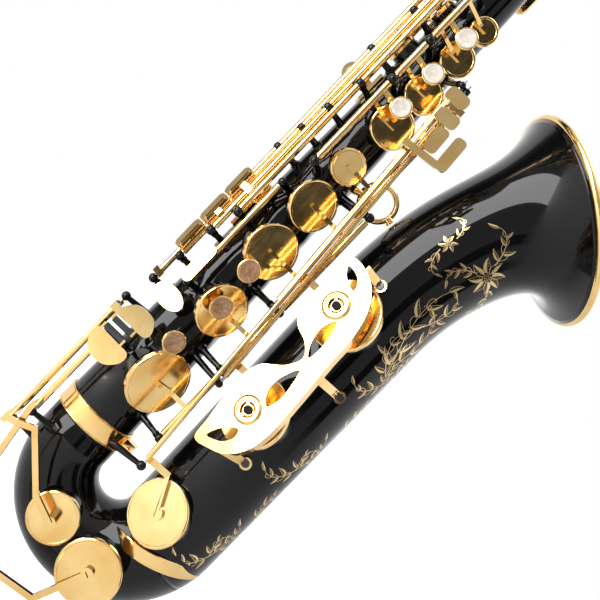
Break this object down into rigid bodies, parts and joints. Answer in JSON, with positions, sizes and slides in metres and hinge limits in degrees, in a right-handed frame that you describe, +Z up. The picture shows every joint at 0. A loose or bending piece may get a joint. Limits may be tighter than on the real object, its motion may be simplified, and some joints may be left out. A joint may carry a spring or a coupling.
{
  "type": "saxophone",
  "caption": "Curved tenor saxophone with a black lacquered body and flared bell, gold keywork, pearl touches, neck and mouthpiece.",
  "frame": {"origin": "centre of the strap ring on the back of the body tube", "axes": "+Z up the body tube towards the neck, +X towards the bell, -Y to the player's right-hand side"},
  "size_m": [0.4499, 0.1538, 0.8281],
  "materials": {
    "black_lacquer": "deep gloss black lacquer over brass",
    "gold_lacquer": "polished brass under clear gold lacquer",
    "steel": "bright ground rod",
    "dark_steel": "blackened screw",
    "felt": "dense black felt",
    "pad_leather": "tan kid leather",
    "copper_pearl": "warm mother-of-pearl",
    "white_pearl": "cream mother-of-pearl",
    "roller_black": "satin dark roller",
    "ebonite": "polished hard rubber",
    "cane": "raw cane",
    "cork": "waxed cork"
  },
  "bodies": {
    "body": {"body_tube": "black_lacquer", "bow_tube": "black_lacquer", "bell": "black_lacquer", "bell_rim_ring": "gold_lacquer", "ferrules": "gold_lacquer", "bell_key_guard": "gold_lacquer", "guard_screws": "dark_steel", "bumper_holders": "gold_lacquer", "bumper_felts": "felt", "bell_brace": "gold_lacquer", "body_posts": "black_lacquer", "bow_posts": "black_lacquer", "hinge_rods": "steel", "neck_receiver": "gold_lacquer", "receiver_screw": "gold_lacquer", "strap_ring": "gold_lacquer", "thumb_hook": "gold_lacquer", "thumb_rest": "ebonite"},
    "neck": {"neck_tube": "gold_lacquer", "neck_cork": "cork"},
    "mouthpiece": {"mouthpiece": "ebonite", "reed": "cane", "ligature": "gold_lacquer", "ligature_screws": "gold_lacquer"},
    "neck_octave_key_body": {"neck_octave_key": "gold_lacquer"},
    "octave_lever_body": {"octave_lever": "gold_lacquer"},
    "d_key_body": {"d_key": "gold_lacquer", "d_pad": "pad_leather", "d_pearl": "copper_pearl"},
    "e_key_body": {"e_key": "gold_lacquer", "e_pad": "pad_leather", "e_pearl": "copper_pearl"},
    "f_key_body": {"f_key": "gold_lacquer", "f_pad": "pad_leather", "f_pearl": "copper_pearl"},
    "f_sharp_key_body": {"f_sharp_key": "gold_lacquer"},
    "f_sharp_trill_key_body": {"f_sharp_trill_key": "gold_lacquer"},
    "g_sharp_key_body": {"g_sharp_key": "gold_lacquer"},
    "g_key_body": {"g_key": "gold_lacquer"},
    "a_key_body": {"a_key": "gold_lacquer"},
    "b_key_body": {"b_key": "gold_lacquer"},
    "c_key_body": {"c_key": "gold_lacquer"},
    "side_bb_key_body": {"side_bb_key": "gold_lacquer"},
    "side_c_key_body": {"side_c_key": "gold_lacquer"},
    "high_e_key_body": {"high_e_key": "gold_lacquer"},
    "high_f_sharp_key_body": {"high_f_sharp_key": "gold_lacquer", "f_sharp_pearl": "white_pearl"},
    "palm_d_key_body": {"palm_d_key": "gold_lacquer"},
    "palm_eb_key_body": {"palm_eb_key": "gold_lacquer"},
    "palm_f_key_body": {"palm_f_key": "gold_lacquer"},
    "low_eb_key_body": {"low_eb_key": "gold_lacquer"},
    "eb_roller_body": {"eb_roller": "roller_black"},
    "low_c_key_body": {"low_c_key": "gold_lacquer", "low_c_pad": "pad_leather"},
    "c_roller_body": {"c_roller": "roller_black"},
    "low_c_sharp_key_body": {"low_c_sharp_key": "gold_lacquer"},
    "low_b_key_body": {"low_b_key": "gold_lacquer", "low_b_pad": "pad_leather"},
    "low_bb_key_body": {"low_bb_key": "gold_lacquer", "low_bb_pad": "pad_leather"}
  },
  "joints": [
    {"name": "d_hinge", "type": "hinge", "parent": "body", "child": "d_key_body", "pos_m": [0.07878, -0.02925, 0], "axis": [0, 0, 1], "range_deg": [-12, 0], "stiffness_Nm_per_rad": 0.06, "springref_deg": 28.65},
    {"name": "e_hinge", "type": "hinge", "parent": "body", "child": "e_key_body", "pos_m": [0.07878, -0.02925, 0], "axis": [0, 0, 1], "range_deg": [-12, 0], "stiffness_Nm_per_rad": 0.06, "springref_deg": 28.65},
    {"name": "f_hinge", "type": "hinge", "parent": "body", "child": "f_key_body", "pos_m": [0.07878, -0.02925, 0], "axis": [0, 0, 1], "range_deg": [-12, 0], "stiffness_Nm_per_rad": 0.06, "springref_deg": 28.65},
    {"name": "f_sharp_hinge", "type": "hinge", "parent": "body", "child": "f_sharp_key_body", "pos_m": [0.07878, -0.02925, 0], "axis": [0, 0, 1], "range_deg": [-12, 0], "stiffness_Nm_per_rad": 0.06, "springref_deg": 28.65},
    {"name": "g_hinge", "type": "hinge", "parent": "body", "child": "g_key_body", "pos_m": [0.02432, -0.04422, 0], "axis": [0, 0, 1], "range_deg": [0, 9], "stiffness_Nm_per_rad": 0.06, "springref_deg": -28.65},
    {"name": "a_hinge", "type": "hinge", "parent": "body", "child": "a_key_body", "pos_m": [0.02432, -0.04422, 0], "axis": [0, 0, 1], "range_deg": [0, 9], "stiffness_Nm_per_rad": 0.06, "springref_deg": -28.65},
    {"name": "b_hinge", "type": "hinge", "parent": "body", "child": "b_key_body", "pos_m": [0.02432, -0.04422, 0], "axis": [0, 0, 1], "range_deg": [0, 9], "stiffness_Nm_per_rad": 0.06, "springref_deg": -28.65},
    {"name": "c_hinge", "type": "hinge", "parent": "body", "child": "c_key_body", "pos_m": [0.02432, -0.04422, 0], "axis": [0, 0, 1], "range_deg": [0, 9], "stiffness_Nm_per_rad": 0.06, "springref_deg": -28.65},
    {"name": "f_sharp_trill_hinge", "type": "hinge", "parent": "body", "child": "f_sharp_trill_key_body", "pos_m": [0.01846, -0.03086, 0], "axis": [0, 0, 1], "range_deg": [0, 10], "stiffness_Nm_per_rad": 0.06, "springref_deg": -28.65},
    {"name": "g_sharp_hinge", "type": "hinge", "parent": "body", "child": "g_sharp_key_body", "pos_m": [0.07143, -0.01831, 0], "axis": [0, 0, 1], "range_deg": [0, 10], "stiffness_Nm_per_rad": 0.06, "springref_deg": -28.65},
    {"name": "side_bb_hinge", "type": "hinge", "parent": "body", "child": "side_bb_key_body", "pos_m": [0.00149, -0.0205, 0], "axis": [0, 0, 1], "range_deg": [0, 10], "stiffness_Nm_per_rad": 0.06, "springref_deg": -28.65},
    {"name": "side_c_hinge", "type": "hinge", "parent": "body", "child": "side_c_key_body", "pos_m": [0.00536, -0.02608, 0], "axis": [0, 0, 1], "range_deg": [0, 10], "stiffness_Nm_per_rad": 0.06, "springref_deg": -28.65},
    {"name": "high_e_hinge", "type": "hinge", "parent": "body", "child": "high_e_key_body", "pos_m": [0.0101, -0.03094, 0], "axis": [0, 0, 1], "range_deg": [0, 10], "stiffness_Nm_per_rad": 0.06, "springref_deg": -28.65},
    {"name": "high_f_sharp_hinge", "type": "hinge", "parent": "body", "child": "high_f_sharp_key_body", "pos_m": [-0.00153, -0.01402, 0], "axis": [0, 0, 1], "range_deg": [0, 10], "stiffness_Nm_per_rad": 0.06, "springref_deg": -28.65},
    {"name": "palm_d_hinge", "type": "hinge", "parent": "body", "child": "palm_d_key_body", "pos_m": [0.02022, 0.02487, 0], "axis": [0, 0, 1], "range_deg": [0, 9], "stiffness_Nm_per_rad": 0.06, "springref_deg": -28.65},
    {"name": "palm_eb_hinge", "type": "hinge", "parent": "body", "child": "palm_eb_key_body", "pos_m": [0.05015, 0.02696, 0], "axis": [0, 0, 1], "range_deg": [-9, 0], "stiffness_Nm_per_rad": 0.06, "springref_deg": 28.65},
    {"name": "palm_f_hinge", "type": "hinge", "parent": "body", "child": "palm_f_key_body", "pos_m": [0.02022, 0.02487, 0], "axis": [0, 0, 1], "range_deg": [0, 9], "stiffness_Nm_per_rad": 0.06, "springref_deg": -28.65},
    {"name": "octave_hinge", "type": "hinge", "parent": "body", "child": "octave_lever_body", "pos_m": [0.01071, 0.01643, 0], "axis": [0, 0, 1], "range_deg": [-8, 0], "stiffness_Nm_per_rad": 0.06, "springref_deg": 28.65},
    {"name": "low_eb_hinge", "type": "hinge", "parent": "body", "child": "low_eb_key_body", "pos_m": [-0.0065, -0.015, 0], "axis": [0, 0, 1], "range_deg": [-5, 0], "stiffness_Nm_per_rad": 0.06, "springref_deg": 28.65},
    {"name": "low_c_hinge", "type": "hinge", "parent": "body", "child": "low_c_key_body", "pos_m": [0.002, -0.025, 0], "axis": [0, 0, 1], "range_deg": [0, 4], "stiffness_Nm_per_rad": 0.06, "springref_deg": -28.65},
    {"name": "eb_roller_spin", "type": "hinge", "parent": "low_eb_key_body", "child": "eb_roller_body", "pos_m": [0.0075, -0.0384, -0.2426], "axis": [1, 0, 0], "continuous": true},
    {"name": "c_roller_spin", "type": "hinge", "parent": "low_c_key_body", "child": "c_roller_body", "pos_m": [0.00655, -0.03875, -0.2496], "axis": [0.9976, -0.0698, 0], "continuous": true},
    {"name": "low_c_sharp_hinge", "type": "hinge", "parent": "body", "child": "low_c_sharp_key_body", "pos_m": [0.07161, -0.0435, -0.13755], "axis": [-0.0619, 0, 0.9981], "range_deg": [-8, 0], "stiffness_Nm_per_rad": 0.06, "springref_deg": 28.65},
    {"name": "low_b_hinge", "type": "hinge", "parent": "body", "child": "low_b_key_body", "pos_m": [0.0764, -0.0396, -0.13725], "axis": [-0.0619, 0, 0.9981], "range_deg": [0, 9], "stiffness_Nm_per_rad": 0.06, "springref_deg": -28.65},
    {"name": "low_bb_hinge", "type": "hinge", "parent": "body", "child": "low_bb_key_body", "pos_m": [0.07061, -0.0386, -0.13761], "axis": [-0.0619, 0, 0.9981], "range_deg": [0, 7], "stiffness_Nm_per_rad": 0.06, "springref_deg": -28.65},
    {"name": "neck_swivel", "type": "hinge", "parent": "body", "child": "neck", "pos_m": [0.037, 0, 0.28], "axis": [0, 0, 1], "range_deg": [-12, 12]},
    {"name": "mouthpiece_slide", "type": "slide", "parent": "neck", "child": "mouthpiece", "axis": [-0.8771, 0, -0.4803], "range_m": [-0.004, 0.006]},
    {"name": "neck_octave_hinge", "type": "hinge", "parent": "neck", "child": "neck_octave_key_body", "pos_m": [0.00665, 0, 0.38897], "axis": [0, 1, 0], "range_deg": [-3, 0], "stiffness_Nm_per_rad": 0.06, "springref_deg": 28.65}
  ],
  "couplings": [
    {"joint": "f_sharp_hinge", "follows": "f_hinge", "ratio": 1},
    {"joint": "c_hinge", "follows": "a_hinge", "ratio": 1},
    {"joint": "neck_octave_hinge", "follows": "octave_hinge", "ratio": 0.375}
  ]
}
